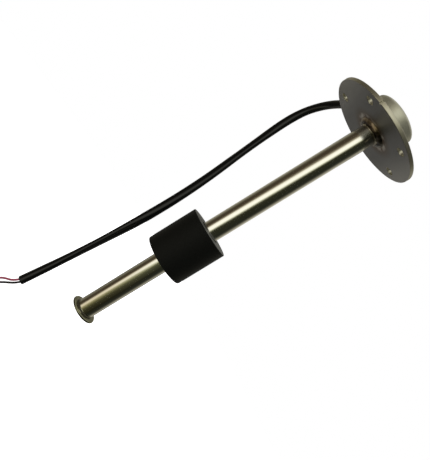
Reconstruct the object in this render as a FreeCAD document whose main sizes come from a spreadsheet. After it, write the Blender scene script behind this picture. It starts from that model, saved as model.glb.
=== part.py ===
import FreeCAD, Part

# Flange-mounted float level switch.
# A stainless stem hangs from a round five-hole flange. A chain of reed switches and resistors sits on a
# board in the stem, and the ring magnet of a foam float closes the switches that it passes.
# Frame: millimetres, +Z up along the stem, origin at the centre of the flange's underside, which is the
# mounting face. One flange hole lies on +X.

import math
import os

import Sketcher
from FreeCAD import Placement, Rotation, Vector

SIZES = {
    # mounting flange
    "flange_diameter": 68.0,
    "flange_thickness": 2.3,
    "flange_edge": 0.35,
    "bolt_circle": 54.0,
    "bolt_hole": 5.3,
    "bolt_count": 5,
    "notch_width": 1.0,
    "notch_depth": 1.2,
    "notch_bearing": 231.6,
    # head can on the flange
    "can_diameter": 31.4,
    "can_height": 13.1,
    "can_wall": 0.8,
    "can_corner": 1.0,
    # stem tube, hanging from the flange
    "stem_diameter": 13.0,
    "stem_wall": 0.8,
    "stem_length": 199.5,
    "stem_rise": 1.5,
    "stem_weld_leg": 3.4,
    "stem_weld_drop": 2.4,
    # end plug with its stop collar
    "collar_diameter": 19.0,
    "collar_thickness": 1.6,
    "collar_edge": 0.6,
    "spigot_length": 5.0,
    "end_weld_leg": 0.5,
    # float
    "float_diameter": 32.7,
    "float_length": 32.2,
    "float_bore": 14.4,
    "float_edge": 1.0,
    "float_depth": 110.2,
    "magnet_wall": 1.6,
    "magnet_width": 3.4,
    "magnet_length": 9.0,
    "retainer_length": 4.0,
    # board in the stem
    "sleeve_wall": 0.35,
    "board_thickness": 1.0,
    "board_end_gap": 3.0,
    "board_rise": 6.4,
    "reed_first": 24.0,
    "reed_count": 7,
    "glass_diameter": 2.2,
    "glass_length": 12.0,
    "glass_wall": 0.3,
    "glass_seal": 1.2,
    "lead_width": 0.6,
    "lead_thickness": 0.3,
    "lead_foot": 0.5,
    "lead_span": 15.2,
    "lead_overlap": 0.6,
    "contact_gap": 0.2,
    "chip_length": 3.2,
    "chip_width": 1.6,
    "chip_height": 0.5,
    "chip_terminal": 0.45,
    "chip_terminal_rise": 0.06,
    # cable and its way into the can
    "cable_bearing": 106.4,
    "cable_height": 6.2,
    "cable_diameter": 5.6,
    "cable_inner_end": 9.0,
    "core_diameter": 1.4,
    "core_spacing": 1.9,
    "core_tip_diameter": 0.8,
    "core_tip_length": 6.0,
    "grommet_wall": 0.9,
    "grommet_lip": 1.0,
    "grommet_collar": 1.5,
    # clearances
    "seat_gap": 0.05,
    "slip_gap": 0.3,
}

doc = FreeCAD.newDocument("float_level_switch")
sheet = doc.addObject("Spreadsheet::Sheet", "sizes")
for row, (alias, size) in enumerate(SIZES.items(), start=1):
    sheet.set(f"A{row}", alias)
    sheet.set(f"B{row}", str(size))
    sheet.setAlias(f"B{row}", alias)
doc.recompute()

# Sizes that follow from the sheet, as expressions.
FLANGE_TOP = "sizes.flange_thickness"
STEM_TOP = "(sizes.flange_thickness + sizes.stem_rise)"
STEM_BORE = "(sizes.stem_diameter - 2 * sizes.stem_wall)"
CAN_BORE = "(sizes.can_diameter - 2 * sizes.can_wall)"
CAN_TOP = "(sizes.flange_thickness + sizes.can_height)"
EXIT_Z = "(sizes.flange_thickness + sizes.cable_height)"
SLEEVE_OUTSIDE = f"({STEM_BORE} - 2 * sizes.slip_gap)"
SLEEVE_BORE = f"({SLEEVE_OUTSIDE} - 2 * sizes.sleeve_wall)"
BOARD_WIDTH = f"({SLEEVE_BORE} - 2 * sizes.slip_gap)"
BOARD_TOP = f"({STEM_TOP} + sizes.board_rise)"
BOARD_BOTTOM = "(sizes.spigot_length + sizes.board_end_gap - sizes.stem_length)"
BOARD_FACE = "(sizes.board_thickness / 2)"
GLASS_AXIS = f"({BOARD_FACE} + sizes.slip_gap + sizes.glass_diameter / 2)"
GROMMET_BORE = "(sizes.cable_diameter + 2 * sizes.seat_gap)"
GROMMET_NECK = f"({GROMMET_BORE} + 2 * sizes.grommet_wall)"
GROMMET_FLANGE = f"({GROMMET_NECK} + 2 * sizes.grommet_lip)"
LAST_REED = f"(-{BOARD_BOTTOM} - sizes.lead_span / 2 - sizes.lead_foot)"
REED_PITCH = f"(({LAST_REED} - sizes.reed_first) / (sizes.reed_count - 1))"
MAGNET_BORE = "(sizes.float_bore + 2 * sizes.magnet_wall)"
MAGNET_OUTSIDE = f"({MAGNET_BORE} + 2 * sizes.magnet_width)"
FLOAT_TOP = "(-sizes.float_depth)"
FLOAT_BOTTOM = "(-sizes.float_depth - sizes.float_length)"
POCKET_TOP = f"({FLOAT_BOTTOM} + sizes.retainer_length + sizes.magnet_length + 2 * sizes.seat_gap)"

# The cable's route: it runs out over the flange, bends down outside the rim and hangs beside the stem.
CABLE_ROUTE = [
    (-2.54, 8.63, 8.5),
    (-6.92, 23.50, 8.5),
    (-10.8, 39.3, 8.4),
    (-14.4, 56.9, -1.3),
    (-17.0, 65.7, -19.3),
    (-15.8, 64.3, -53.5),
    (-15.0, 48.8, -112.8),
    (-20.5, 36.8, -174.8),
    (-29.5, 29.0, -233.3),
]
RED_CORE_ROUTE = [
    (-30.42, 29.30, -233.46),
    (-33.71, 29.89, -243.00),
    (-40.08, 34.66, -248.93),
]
BLACK_CORE_ROUTE = [
    (-28.65, 28.63, -233.64),
    (-31.48, 28.37, -241.85),
    (-37.33, 30.22, -247.78),
]

nodes = []


def value(text):
    """The number that an expression stands for."""
    result = sheet.evalExpression(text)
    return float(getattr(result, "Value", result))


def keep(shape_object):
    """Marks an object as a finished piece, exported under its label."""
    nodes.append(shape_object)
    return shape_object


def turn_to(piece, bearing):
    """Turns a piece about Z by a bearing from the sheet."""
    piece.Placement = Placement(Vector(), Rotation(Vector(0, 0, 1), value(bearing)))
    piece.setExpression("Placement.Rotation.Angle", bearing)


# ---------------------------------------------------------------- sketched bodies


def new_body(label):
    return keep(doc.addObject("PartDesign::Body", label))


def new_sketch(body, name, role):
    """An empty sketch on one of the body's own origin planes."""
    plane = next(item for item in body.Origin.OriginFeatures if item.Role == role)
    sketch = body.newObject("Sketcher::SketchObject", name)
    sketch.AttachmentSupport = [(plane, "")]
    sketch.MapMode = "FlatFace"
    return sketch


def pin(sketch, kind, geometry, point, text):
    """Fixes one coordinate of a sketch point to an expression."""
    if text == "0":
        axis = -2 if kind == "DistanceX" else -1
        sketch.addConstraint(Sketcher.Constraint("PointOnObject", geometry, point, axis))
        return
    index = sketch.addConstraint(Sketcher.Constraint(kind, -1, 1, geometry, point, value(text)))
    sketch.setExpression(f"Constraints[{index}]", text)


def draw_outline(sketch, corners):
    """A closed outline through corners, which are pairs of expressions."""
    points = [Vector(value(x), value(y), 0) for x, y in corners]
    count = len(points)
    for index in range(count):
        sketch.addGeometry(Part.LineSegment(points[index], points[(index + 1) % count]))
    for index in range(count):
        sketch.addConstraint(Sketcher.Constraint("Coincident", index, 2, (index + 1) % count, 1))
    for index, (x, y) in enumerate(corners):
        pin(sketch, "DistanceX", index, 1, x)
        pin(sketch, "DistanceY", index, 1, y)


def draw_circle(sketch, diameter, x="0", y="0"):
    centre = Vector(value(x), value(y), 0)
    index = sketch.addGeometry(Part.Circle(centre, Vector(0, 0, 1), value(diameter) / 2))
    pin(sketch, "DistanceX", index, 3, x)
    pin(sketch, "DistanceY", index, 3, y)
    size = sketch.addConstraint(Sketcher.Constraint("Diameter", index, value(diameter)))
    sketch.setExpression(f"Constraints[{size}]", diameter)


def revolve(body, corners, name="Turning"):
    """A turned form: corners are (radius, height) pairs."""
    sketch = new_sketch(body, name + "Profile", "XZ_Plane")
    draw_outline(sketch, corners)
    turning = body.newObject("PartDesign::Revolution", name)
    turning.Profile = sketch
    turning.ReferenceAxis = (sketch, ["V_Axis"])
    turning.Angle = 360
    doc.recompute()
    return turning


def pad(body, sketch, length, name="Pad", midplane=False):
    feature = body.newObject("PartDesign::Pad", name)
    feature.Profile = sketch
    feature.Midplane = midplane
    feature.setExpression("Length", length)
    doc.recompute()
    return feature


def cut_through(body, sketch, name):
    """A pocket through the whole body, on the side that its sketch normal points to."""
    before = body.Shape.Volume
    pocket = body.newObject("PartDesign::Pocket", name)
    pocket.Profile = sketch
    pocket.Type = "ThroughAll"
    pocket.Reversed = True
    doc.recompute()
    if body.Shape.Volume >= before:
        raise RuntimeError(f"{body.Label}: {name} cuts nothing")
    return pocket


def polar(body, feature, name, count):
    pattern = body.newObject("PartDesign::PolarPattern", name)
    pattern.Originals = [feature]
    axis = next(item for item in body.Origin.OriginFeatures if item.Role == "Z_Axis")
    pattern.Axis = (axis, [""])
    pattern.Angle = 360
    pattern.setExpression("Occurrences", count)
    body.Tip = pattern
    doc.recompute()
    return pattern


def circles_at(shape, radius, z):
    """The names of a shape's round edges with this radius at this height."""
    names = []
    for number, edge in enumerate(shape.Edges, start=1):
        curve = edge.Curve
        if isinstance(curve, Part.Circle) and abs(curve.Radius - radius) < 1e-4 and abs(curve.Center.z - z) < 1e-4:
            names.append(f"Edge{number}")
    return names


def break_edges(body, feature, places, size, name):
    """Chamfers the circles at (diameter, height) pairs of expressions."""
    chamfer = body.newObject("PartDesign::Chamfer", name)
    edges = []
    for diameter, height in places:
        edges += circles_at(feature.Shape, value(diameter) / 2, value(height))
    chamfer.Base = (feature, edges)
    chamfer.setExpression("Size", size)
    doc.recompute()
    return chamfer


# ---------------------------------------------------------------- primitives and booleans


def cylinder(name, diameter, length, x="0", y="0", z="0", lying=False):
    """A cylinder from the point x, y, z: upright along Z, or lying along X."""
    solid = doc.addObject("Part::Cylinder", name)
    solid.setExpression("Radius", f"({diameter}) / 2")
    solid.setExpression("Height", length)
    if lying:
        solid.Placement = Placement(Vector(), Rotation(Vector(0, 1, 0), 90))
    for axis, start in zip("xyz", (x, y, z)):
        solid.setExpression(f"Placement.Base.{axis}", start)
    return solid


def lying_cylinder(name, diameter, low, high, y="0"):
    """A cylinder along X between two distances from the stem's axis, at the cable's height."""
    return cylinder(name, diameter, f"({high}) - ({low})", x=low, y=y, z=EXIT_Z, lying=True)


def box(name, low, high):
    """A box between two corners, each three expressions."""
    solid = doc.addObject("Part::Box", name)
    for side, axis, start, end in zip(("Length", "Width", "Height"), "xyz", low, high):
        solid.setExpression(side, f"({end}) - ({start})")
        solid.setExpression(f"Placement.Base.{axis}", start)
    return solid


def cut(name, base, *tools):
    solid = doc.addObject("Part::Cut", name)
    solid.Base = base
    solid.Tool = tools[0] if len(tools) == 1 else fuse(name + "_tools", *tools)
    return solid


def fuse(name, *pieces):
    solid = doc.addObject("Part::MultiFuse", name)
    solid.Shapes = list(pieces)
    return solid


def group(name, *pieces):
    """Pieces that stay apart as solids but belong to one node."""
    solid = doc.addObject("Part::Compound", name)
    solid.Links = list(pieces)
    return solid


def common(name, *pieces):
    solid = doc.addObject("Part::MultiCommon", name)
    solid.Shapes = list(pieces)
    return solid


# ---------------------------------------------------------------- cords


def route_wire(points):
    """Straight runs joined by tangent arcs, each as large as its two runs allow, and the arcs' radii."""
    corners = [Vector(*point) for point in points]
    edges, radii, start = [], [], corners[0]
    for before, corner, after in zip(corners, corners[1:], corners[2:]):
        back = (before - corner).normalize()
        ahead = (after - corner).normalize()
        half_turn = (math.pi - back.getAngle(ahead)) / 2
        reach = 0.45 * min(before.distanceToPoint(corner), corner.distanceToPoint(after))
        radius = reach / math.tan(half_turn)
        middle_way = (back + ahead).normalize()
        middle = corner + middle_way * (radius / math.cos(half_turn) - radius)
        first, last = corner + back * reach, corner + ahead * reach
        edges.append(Part.LineSegment(start, first).toShape())
        edges.append(Part.Arc(first, middle, last).toShape())
        radii.append(radius)
        start = last
    edges.append(Part.LineSegment(start, corners[-1]).toShape())
    return Part.Wire(edges), radii


def tube_along(label, points, diameter):
    """A plain round tube along a route, checked against its section times its length."""
    wire, radii = route_wire(points)
    first = Vector(*points[0])
    heading = Vector(*points[1]) - first
    ring = Part.Wire(Part.Circle(first, heading, diameter / 2).toShape())
    solid = wire.makePipeShell([ring], True, False)
    ideal = math.pi * diameter**2 / 4 * wire.Length
    if abs(solid.Volume - ideal) > 0.01 * ideal:
        raise RuntimeError(f"{label}: volume {solid.Volume:.1f} instead of {ideal:.1f}")
    shown = ", ".join(f"{radius:.1f}" for radius in radii)
    print(f"{label}: {wire.Length:.1f} mm long, diameter {diameter:g}, bend radii {shown}")
    return solid


def feature(label, shape):
    piece = doc.addObject("Part::Feature", label)
    piece.Shape = shape
    return piece


# ---------------------------------------------------------------- flange and head


def make_flange():
    """Round plate with a bore for the stem, five screw holes and an index slot in its rim."""
    body = new_body("mounting_flange")
    disc = new_sketch(body, "Disc", "XY_Plane")
    draw_circle(disc, "sizes.flange_diameter")
    plate = pad(body, disc, FLANGE_TOP, "Plate")
    rims = [("sizes.flange_diameter", "0"), ("sizes.flange_diameter", FLANGE_TOP)]
    break_edges(body, plate, rims, "sizes.flange_edge", "RimEdges")
    bore = new_sketch(body, "BoreCircle", "XY_Plane")
    draw_circle(bore, "sizes.stem_diameter + 2 * sizes.seat_gap")
    cut_through(body, bore, "Bore")
    hole = new_sketch(body, "HoleCircle", "XY_Plane")
    draw_circle(hole, "sizes.bolt_hole", x="sizes.bolt_circle / 2")
    first_hole = cut_through(body, hole, "ScrewHole")
    polar(body, first_hole, "ScrewHoles", "sizes.bolt_count")
    notch = new_sketch(body, "NotchOutline", "XY_Plane")
    notch.AttachmentOffset = Placement(Vector(), Rotation(Vector(0, 0, 1), value("sizes.notch_bearing")))
    notch.setExpression("AttachmentOffset.Rotation.Angle", "sizes.notch_bearing")
    inside = "sizes.flange_diameter / 2 - sizes.notch_depth"
    outside = "sizes.flange_diameter / 2 + sizes.notch_depth"
    half = "sizes.notch_width / 2"
    corners = [(inside, "-" + half), (outside, "-" + half), (outside, half), (inside, half)]
    draw_outline(notch, corners)
    cut_through(body, notch, "IndexNotch")


def make_can():
    """Deep-drawn can, open below, with a side hole for the grommet."""
    body = new_body("head_can")
    outside, inside = "sizes.can_diameter / 2", f"{CAN_BORE} / 2"
    roof = f"{CAN_TOP} - sizes.can_wall"
    corners = [
        (inside, FLANGE_TOP),
        (outside, FLANGE_TOP),
        (outside, CAN_TOP),
        ("0", CAN_TOP),
        ("0", roof),
        (inside, roof),
    ]
    shell = revolve(body, corners, "Drawing")
    break_edges(body, shell, [("sizes.can_diameter", CAN_TOP)], "sizes.can_corner", "TopEdge")
    side = new_sketch(body, "CableHoleCircle", "YZ_Plane")
    draw_circle(side, f"{GROMMET_NECK} + 2 * sizes.seat_gap", y=EXIT_Z)
    cut_through(body, side, "CableHole")
    turn_to(body, "sizes.cable_bearing")


def make_grommet():
    """Moulded bush with a collar on each side of the can's wall, both curved to fit it."""
    wall_outside, wall_inside = "sizes.can_diameter / 2", f"{CAN_BORE} / 2"
    outer_face = f"({wall_outside} + sizes.grommet_collar)"
    inner_face = f"({wall_inside} - sizes.grommet_collar)"
    middle = f"({wall_inside} + {wall_outside}) / 2"
    outer = cut(
        "OuterCollar",
        lying_cylinder("OuterDisc", GROMMET_FLANGE, middle, outer_face),
        cylinder("CanOutside", "sizes.can_diameter", CAN_TOP),
    )
    inner = common(
        "InnerCollar",
        lying_cylinder("InnerDisc", GROMMET_FLANGE, inner_face, middle),
        cylinder("CanInside", CAN_BORE, CAN_TOP),
    )
    neck_start = f"({inner_face} + sizes.grommet_collar / 2)"
    neck_end = f"({outer_face} - sizes.grommet_collar / 2)"
    neck = lying_cylinder("Neck", GROMMET_NECK, neck_start, neck_end)
    past = "sizes.grommet_collar"
    bore = lying_cylinder("CableBore", GROMMET_BORE, f"{inner_face} - {past}", f"{outer_face} + {past}")
    grommet = keep(cut("cable_grommet", fuse("GrommetBlank", outer, inner, neck), bore))
    turn_to(grommet, "sizes.cable_bearing")


def make_inner_wires():
    """The cable's two cores inside the can, soldered to the board."""
    end = "sizes.cable_inner_end - sizes.seat_gap"
    for colour, side in (("red", "1"), ("black", "-1")):
        y = f"{side} * sizes.core_spacing / 2"
        core = lying_cylinder(f"Core_{colour}", "sizes.core_diameter", BOARD_FACE, end, y)
        turn_to(keep(group(f"inner_wire_{colour}", core)), "sizes.cable_bearing")


# ---------------------------------------------------------------- stem


def make_stem():
    """Drawn tube from the head down to the end plug."""
    body = new_body("stem_tube")
    outside, inside = "sizes.stem_diameter / 2", f"{STEM_BORE} / 2"
    foot = "-sizes.stem_length"
    revolve(body, [(inside, foot), (outside, foot), (outside, STEM_TOP), (inside, STEM_TOP)])


def make_stem_weld():
    """Weld bead under the flange, round the stem."""
    body = new_body("stem_weld")
    wall = "sizes.stem_diameter / 2"
    leg, drop = "sizes.stem_weld_leg", "sizes.stem_weld_drop"
    corners = [
        (wall, "0"),
        (f"{wall} + {leg}", "0"),
        (wall, f"-{drop}"),
    ]
    revolve(body, corners)


def make_end_plug():
    """Turned plug: a spigot up in the tube and a round collar that stops the float."""
    body = new_body("end_plug")
    rim, spigot = "sizes.collar_diameter / 2", f"({STEM_BORE} / 2 - sizes.seat_gap)"
    seat, foot = "-sizes.stem_length", "-sizes.stem_length - sizes.collar_thickness"
    corners = [
        ("0", foot),
        (rim, foot),
        (rim, seat),
        (spigot, seat),
        (spigot, f"{seat} + sizes.spigot_length"),
        ("0", f"{seat} + sizes.spigot_length"),
    ]
    turning = revolve(body, corners)
    rims = [("sizes.collar_diameter", seat), ("sizes.collar_diameter", foot)]
    break_edges(body, turning, rims, "sizes.collar_edge", "CollarEdges")


def make_end_weld():
    """Small weld ring between the stem and the collar."""
    body = new_body("end_weld")
    wall, seat, leg = "sizes.stem_diameter / 2", "-sizes.stem_length", "sizes.end_weld_leg"
    corners = [
        (wall, seat),
        (f"{wall} + {leg}", seat),
        (wall, f"{seat} + {leg}"),
    ]
    revolve(body, corners)


# ---------------------------------------------------------------- float


def make_float():
    """Foam cylinder with a bore for the stem and a pocket for the magnet in its lower end."""
    body = new_body("float_body")
    outside, bore = "sizes.float_diameter / 2", "sizes.float_bore / 2"
    pocket_in, pocket_out = f"{MAGNET_BORE} / 2 - sizes.seat_gap", f"{MAGNET_OUTSIDE} / 2 + sizes.seat_gap"
    corners = [
        (bore, FLOAT_BOTTOM),
        (pocket_in, FLOAT_BOTTOM),
        (pocket_in, POCKET_TOP),
        (pocket_out, POCKET_TOP),
        (pocket_out, FLOAT_BOTTOM),
        (outside, FLOAT_BOTTOM),
        (outside, FLOAT_TOP),
        (bore, FLOAT_TOP),
    ]
    turning = revolve(body, corners)
    rims = [("sizes.float_diameter", FLOAT_BOTTOM), ("sizes.float_diameter", FLOAT_TOP)]
    break_edges(body, turning, rims, "sizes.float_edge", "EndEdges")


def make_float_rings():
    """The ring magnet and the ring that closes its pocket."""
    inner, outer = f"{MAGNET_BORE} / 2", f"{MAGNET_OUTSIDE} / 2"
    magnet_foot = f"({FLOAT_BOTTOM} + sizes.retainer_length + sizes.seat_gap)"
    spans = {
        "float_magnet": (magnet_foot, f"{magnet_foot} + sizes.magnet_length"),
        "magnet_retainer": (FLOAT_BOTTOM, f"{FLOAT_BOTTOM} + sizes.retainer_length"),
    }
    for label, (low, high) in spans.items():
        revolve(new_body(label), [(inner, low), (outer, low), (outer, high), (inner, high)])


# ---------------------------------------------------------------- board, reed switches and resistors


def reed_depths():
    """How far below the mounting face each reed switch lies: evenly spaced between the first and the last."""
    count = int(value("sizes.reed_count"))
    return [f"(sizes.reed_first + {number} * {REED_PITCH})" for number in range(count)]


def make_board():
    """Long narrow board that reaches from the end plug into the can."""
    body = new_body("circuit_board")
    strip = new_sketch(body, "Strip", "YZ_Plane")
    half = f"{BOARD_WIDTH} / 2"
    draw_outline(strip, [("-" + half, BOARD_BOTTOM), (half, BOARD_BOTTOM), (half, BOARD_TOP), ("-" + half, BOARD_TOP)])
    pad(body, strip, "sizes.board_thickness", "Laminate", midplane=True)
    turn_to(body, "sizes.cable_bearing")


def make_sleeve():
    """Thin insulating sleeve between the board and the tube."""
    body = new_body("insulating_sleeve")
    outside, inside = f"{SLEEVE_OUTSIDE} / 2", f"{SLEEVE_BORE} / 2"
    foot = f"{BOARD_BOTTOM} - sizes.board_end_gap + sizes.slip_gap"
    top = f"{STEM_TOP} + sizes.slip_gap"
    revolve(body, [(inside, foot), (outside, foot), (outside, top), (inside, top)])


def place_on_board(piece, depth):
    turn_to(piece, "sizes.cable_bearing")
    piece.setExpression("Placement.Base.z", f"-{depth}")


def lead(name, sign):
    """One reed lead: a flat blade along the glass and a foot that is soldered to the board."""
    half_width = "sizes.lead_width / 2"
    centre = f"({GLASS_AXIS} {sign} (sizes.contact_gap + sizes.lead_thickness) / 2)"
    inner_side, outer_side = f"{centre} - sizes.lead_thickness / 2", f"{centre} + sizes.lead_thickness / 2"
    end, tip = "sizes.lead_span / 2", "-sizes.lead_overlap"
    if sign == "-":
        blade_z, foot_z = (f"-{end}", "sizes.lead_overlap"), (f"-{end}", f"-{end} + sizes.lead_foot")
    else:
        blade_z, foot_z = (tip, end), (f"{end} - sizes.lead_foot", end)
    blade = box(
        f"{name}_blade",
        (inner_side, "-" + half_width, blade_z[0]),
        (outer_side, half_width, blade_z[1]),
    )
    foot = box(
        f"{name}_foot",
        (BOARD_FACE, "-" + half_width, foot_z[0]),
        (outer_side, half_width, foot_z[1]),
    )
    return fuse(name, blade, foot)


def lead_slot(name, sign):
    """The way of one lead through its end of the glass, with the seat gap all round."""
    gap = "sizes.seat_gap"
    centre = f"({GLASS_AXIS} {sign} (sizes.contact_gap + sizes.lead_thickness) / 2)"
    end = "sizes.glass_length"
    low_z, high_z = ("0", end) if sign == "+" else (f"-{end}", "0")
    return box(
        name,
        (f"{centre} - sizes.lead_thickness / 2 - {gap}", f"-sizes.lead_width / 2 - {gap}", low_z),
        (f"{centre} + sizes.lead_thickness / 2 + {gap}", f"sizes.lead_width / 2 + {gap}", high_z),
    )


def capsule_cylinder(name, diameter, length):
    """A cylinder on the glass's axis, centred on the reed switch."""
    return cylinder(name, diameter, length, x=GLASS_AXIS, z=f"-{length} / 2")


def make_reed(number, depth):
    """Reed switch: a sealed glass capsule, and two leads whose blades overlap in its middle."""
    leads = group(f"reed_leads_{number}", lead(f"UpperLead_{number}", "+"), lead(f"LowerLead_{number}", "-"))
    place_on_board(keep(leads), depth)
    capsule = capsule_cylinder(f"Capsule_{number}", "sizes.glass_diameter", "sizes.glass_length")
    hollow = capsule_cylinder(
        f"Cavity_{number}",
        "sizes.glass_diameter - 2 * sizes.glass_wall",
        "(sizes.glass_length - 2 * sizes.glass_seal)",
    )
    slots = [lead_slot(f"UpperSlot_{number}", "+"), lead_slot(f"LowerSlot_{number}", "-")]
    place_on_board(keep(cut(f"reed_glass_{number}", capsule, hollow, *slots)), depth)


def make_resistor(number, depth):
    """Chip resistor across the board, half a pitch below its reed switch."""
    half_length, half_width = "sizes.chip_length / 2", "sizes.chip_width / 2"
    top, rise = f"{BOARD_FACE} + sizes.chip_height", "sizes.chip_terminal_rise"
    chip = box(
        f"Chip_{number}",
        (BOARD_FACE, f"-{half_length}", f"-{half_width}"),
        (top, half_length, half_width),
    )
    terminals = []
    for side, low, high in (
        ("Left", f"-{half_length}", f"-{half_length} + sizes.chip_terminal"),
        ("Right", f"{half_length} - sizes.chip_terminal", half_length),
    ):
        terminals.append(
            box(
                f"{side}Terminal_{number}",
                (BOARD_FACE, low, f"-{half_width} - {rise}"),
                (f"{top} + {rise}", high, f"{half_width} + {rise}"),
            )
        )
    resistor = keep(fuse(f"resistor_{number}", chip, *terminals))
    place_on_board(resistor, f"({depth} + {REED_PITCH} / 2)")


# ---------------------------------------------------------------- cable outside the head


def make_cable():
    """The sheath, and the two cores that come out of its cut end with their stripped tips."""
    keep(feature("cable_sheath", tube_along("cable_sheath", CABLE_ROUTE, value("sizes.cable_diameter"))))
    core = value("sizes.core_diameter")
    tip_radius, tip_length = value("sizes.core_tip_diameter") / 2, value("sizes.core_tip_length")
    for colour, route in (("red", RED_CORE_ROUTE), ("black", BLACK_CORE_ROUTE)):
        keep(feature(f"core_{colour}", tube_along(f"core_{colour}", route, core)))
        end = Vector(*route[-1])
        heading = (end - Vector(*route[-2])).normalize()
        keep(feature(f"core_tip_{colour}", Part.makeCylinder(tip_radius, tip_length, end, heading)))


# ---------------------------------------------------------------- build, check and export

make_flange()
make_can()
make_grommet()
make_inner_wires()
make_stem()
make_stem_weld()
make_end_plug()
make_end_weld()
make_float()
make_float_rings()
reeds = reed_depths()
make_board()
make_sleeve()
for reed_number, reed_depth in enumerate(reeds, start=1):
    make_reed(reed_number, reed_depth)
for reed_number, reed_depth in enumerate(reeds[:-1], start=1):
    make_resistor(reed_number, reed_depth)
make_cable()
doc.recompute()

failed = [item.Label for item in doc.Objects if {"Invalid", "Error"} & set(item.State)]
failed += [node.Label for node in nodes if node.Shape.isNull() or not node.Shape.isValid()]
if failed:
    raise RuntimeError(f"not built: {failed}")

os.makedirs("parts", exist_ok=True)
for node in nodes:
    node.Shape.exportStep(f"parts/{node.Label}.step")
print(f"{len(nodes)} pieces written")
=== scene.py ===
import math

import bmesh
import bpy
from bpy.props import FloatProperty, FloatVectorProperty, PointerProperty
from mathutils import Matrix, Vector


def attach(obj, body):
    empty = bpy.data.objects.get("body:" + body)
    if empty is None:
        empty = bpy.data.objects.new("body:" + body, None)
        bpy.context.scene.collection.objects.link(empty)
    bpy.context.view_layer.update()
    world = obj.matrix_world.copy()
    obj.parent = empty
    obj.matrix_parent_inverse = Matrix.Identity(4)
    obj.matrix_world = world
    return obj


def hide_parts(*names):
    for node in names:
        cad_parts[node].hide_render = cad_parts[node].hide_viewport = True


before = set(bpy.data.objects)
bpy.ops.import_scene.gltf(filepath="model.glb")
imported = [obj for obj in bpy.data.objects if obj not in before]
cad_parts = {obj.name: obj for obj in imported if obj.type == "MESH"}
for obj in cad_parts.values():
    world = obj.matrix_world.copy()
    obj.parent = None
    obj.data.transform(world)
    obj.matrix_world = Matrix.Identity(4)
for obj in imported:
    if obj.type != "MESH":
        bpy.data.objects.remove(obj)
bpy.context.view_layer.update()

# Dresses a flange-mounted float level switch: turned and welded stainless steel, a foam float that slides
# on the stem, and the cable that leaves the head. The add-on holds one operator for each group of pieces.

bl_info = {
    "name": "Float level switch",
    "version": (1, 0, 0),
    "blender": (4, 5, 0),
    "location": "3D View > Sidebar > Level switch",
    "description": "Surfaces, cable and studio for a flange-mounted float level switch",
    "category": "Object",
}

MM = 0.001

# The cable's control points, as in the part's source, in millimetres.
CABLE_ROUTE = [
    (-2.54, 8.63, 8.5),
    (-6.92, 23.50, 8.5),
    (-10.8, 39.3, 8.4),
    (-14.4, 56.9, -1.3),
    (-17.0, 65.7, -19.3),
    (-15.8, 64.3, -53.5),
    (-15.0, 48.8, -112.8),
    (-20.5, 36.8, -174.8),
    (-29.5, 29.0, -233.3),
]
# The cores' control points, in millimetres. They bend more than in the part's source, and the drawn cores lie
# up to 2.2 mm from its cores.
CORE_ROUTES = {
    "red": [
        (-30.39, 29.33, -233.2),
        (-31.82, 29.06, -237.23),
        (-36.26, 32.71, -242.81),
        (-37.99, 33.57, -246.5),
        (-39.9, 35.5, -248.3),
    ],
    "black": [
        (-28.62, 28.66, -233.4),
        (-29.99, 28.42, -237.01),
        (-34.04, 29.85, -242.88),
        (-35.79, 30.07, -245.81),
        (-38.0, 30.8, -247.4),
    ],
}
# Which way the sheath's wide side faces along it: (share of its length, quarter turns).
SHEATH_TURNS = [
    (0.0, 0.39),
    (0.14, 0.39),
    (0.21, 0.48),
    (0.27, 0.31),
    (0.39, 0.63),
    (0.46, 0.48),
    (0.56, 0.28),
    (0.66, 0.0),
    (0.75, -0.53),
    (0.80, -0.83),
    (0.845, -1.0),
    (0.885, -1.17),
    (0.94, -1.41),
    (1.0, -1.55),
]
CABLE_SHARPNESS = 50.0
# Stripped length of a core, and how far its strands reach back into it, in millimetres.
TIP_LENGTH, TIP_OVERLAP = 6.0, 0.5
# Three strands lie side by side across the 0.8 mm bundle.
STRAND_DIAMETER = 0.8 / 3 * MM
# Arc length on turned surfaces is taken at this radius.
ARC_RADIUS = 10 * MM
# Level directions from the stem's axis: the side towards which the weld bead is painted in lighter straw
# tones, partly heat tint and partly a painted highlight, away from the camera, and across its view.
STRAW_AND_HIGHLIGHT_SIDE = Vector((-0.93, -0.36, 0.0))
VIEW_DEPTH = Vector((0.35033, 0.93663, 0.0))
VIEW_SIDE = Vector((0.93663, -0.35033, 0.0))


# ---------------------------------------------------------------- colours, nodes and meshes


def linear(hex_colour):
    """Linear RGBA for an sRGB hex colour such as #a0b1c2."""
    parts = [int(hex_colour[i : i + 2], 16) / 255 for i in (1, 3, 5)]
    return tuple(c / 12.92 if c <= 0.04045 else ((c + 0.055) / 1.055) ** 2.4 for c in parts) + (1.0,)


def colour_property(name, description, hex_colour):
    return FloatVectorProperty(
        name=name, description=description, subtype="COLOR", size=4, min=0, max=1, default=linear(hex_colour)
    )


def length_property(name, description, millimetres):
    return FloatProperty(
        name=name, description=description, default=millimetres * MM, min=0, unit="LENGTH", precision=5
    )


def add_node(tree, kind, sockets=None, **settings):
    """Adds a node with its settings, and gives its inputs, by name or number, their values or links. A node
    that is given as a link stands for the first of its outputs that is in use."""
    node = tree.nodes.new(kind)
    for name, setting in settings.items():
        setattr(node, name, setting)
    for key, source in (sockets or {}).items():
        if isinstance(key, int):
            socket = node.inputs[key]
        else:
            socket = next(item for item in node.inputs if item.enabled and item.name == key)
        if isinstance(source, bpy.types.Node):
            source = next(item for item in source.outputs if item.enabled)
        if isinstance(source, bpy.types.NodeSocket):
            tree.links.new(source, socket)
        else:
            socket.default_value = source
    return node


def set_stops(ramp, stops):
    """Gives a colour ramp its (place, tone) stops."""
    elements = ramp.color_ramp.elements
    while len(elements) < len(stops):
        elements.new(0.5)
    for element, (place, tone) in zip(elements, stops):
        element.position = place
        element.color = linear(tone)


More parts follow.
